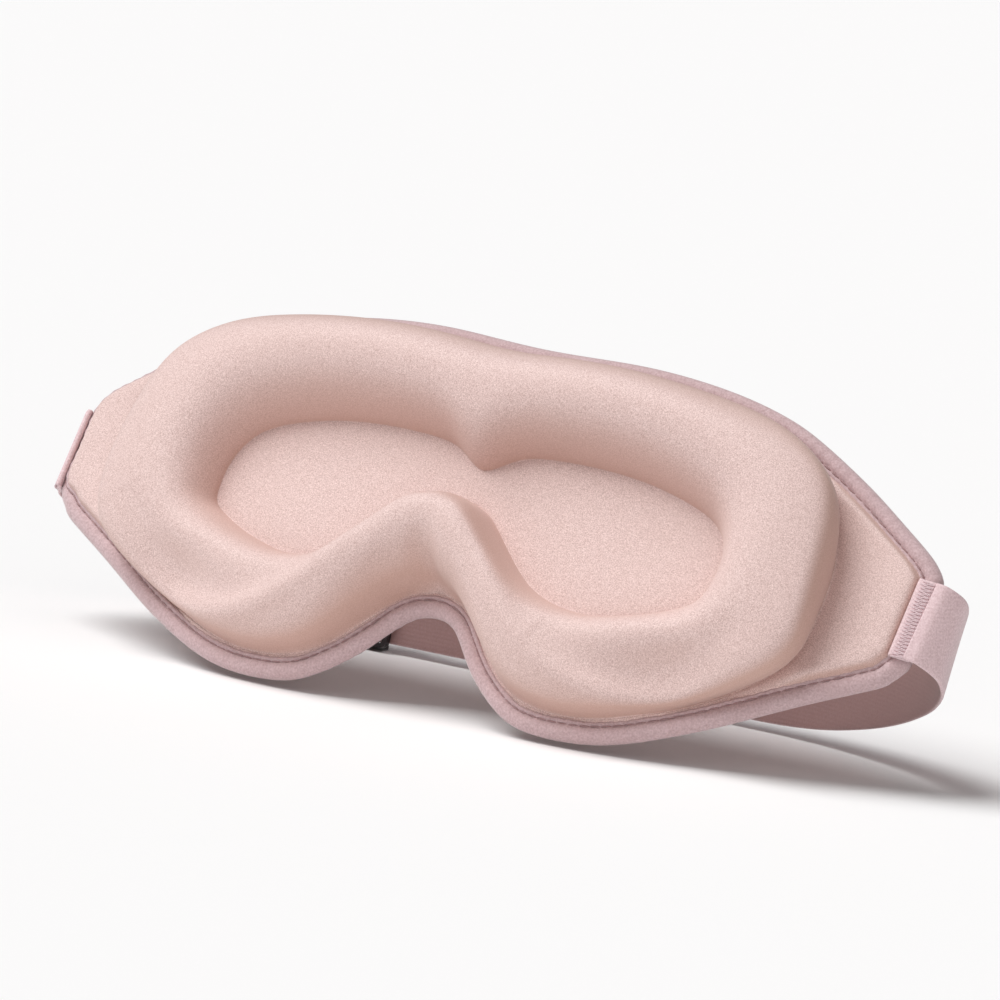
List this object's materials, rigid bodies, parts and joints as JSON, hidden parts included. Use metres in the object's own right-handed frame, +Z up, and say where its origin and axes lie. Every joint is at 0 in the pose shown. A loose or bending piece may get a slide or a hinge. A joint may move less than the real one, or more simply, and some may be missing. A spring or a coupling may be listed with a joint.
{
  "type": "contoured sleep mask",
  "caption": "Contoured sleep eye mask with moulded eye cavities and nose bridge, bound edge and an elastic head strap with ring and slider.",
  "frame": {"origin": "middle of the footprint, on the surface that the mask stands on with its cheek lobes and its strap", "axes": "+X along the mask towards the wearer's right, +Z up, -Y towards the side that lies on the face; the mask leans back 30 degrees from the vertical"},
  "size_m": [0.2504, 0.088, 0.085],
  "materials": {
    "satin": "pale pink satin with a fine sparkle",
    "panel_cloth": "smooth pale pink knit",
    "foam": "dark foam",
    "lining": "black light-tight cloth",
    "tape": "matte lilac-pink binding tape",
    "elastic": "ribbed lilac-pink elastic",
    "thread": "polyester thread",
    "seam_thread": "dark pink polyester thread",
    "plastic": "glossy dark moulded plastic"
  },
  "bodies": {
    "mask": {"outer_fabric": "panel_cloth", "outer_foam": "foam", "blackout_lining": "lining", "contour_foam": "foam", "face_fabric": "satin", "edge_binding": "tape", "binding_stitches": "seam_thread", "strap_tab_left": "elastic", "strap_tab_right": "elastic", "bartack_left": "thread", "bartack_right": "thread"},
    "strap": {"strap": "elastic", "strap_return": "elastic", "short_strap": "elastic", "ring": "plastic", "bartack_ring": "thread"},
    "slider": {"slider": "plastic", "bartack_slider": "thread"}
  },
  "joints": [
    {"name": "strap_swing", "type": "hinge", "parent": "mask", "child": "strap", "pos_m": [0, -0.00557, 0.03941], "axis": [1, 0, 0], "range_deg": [0, 180]},
    {"name": "slider_slide", "type": "slide", "parent": "strap", "child": "slider", "axis": [1, 0, 0], "range_m": [0, 0.095], "deforming": ["strap_return"]}
  ]
}
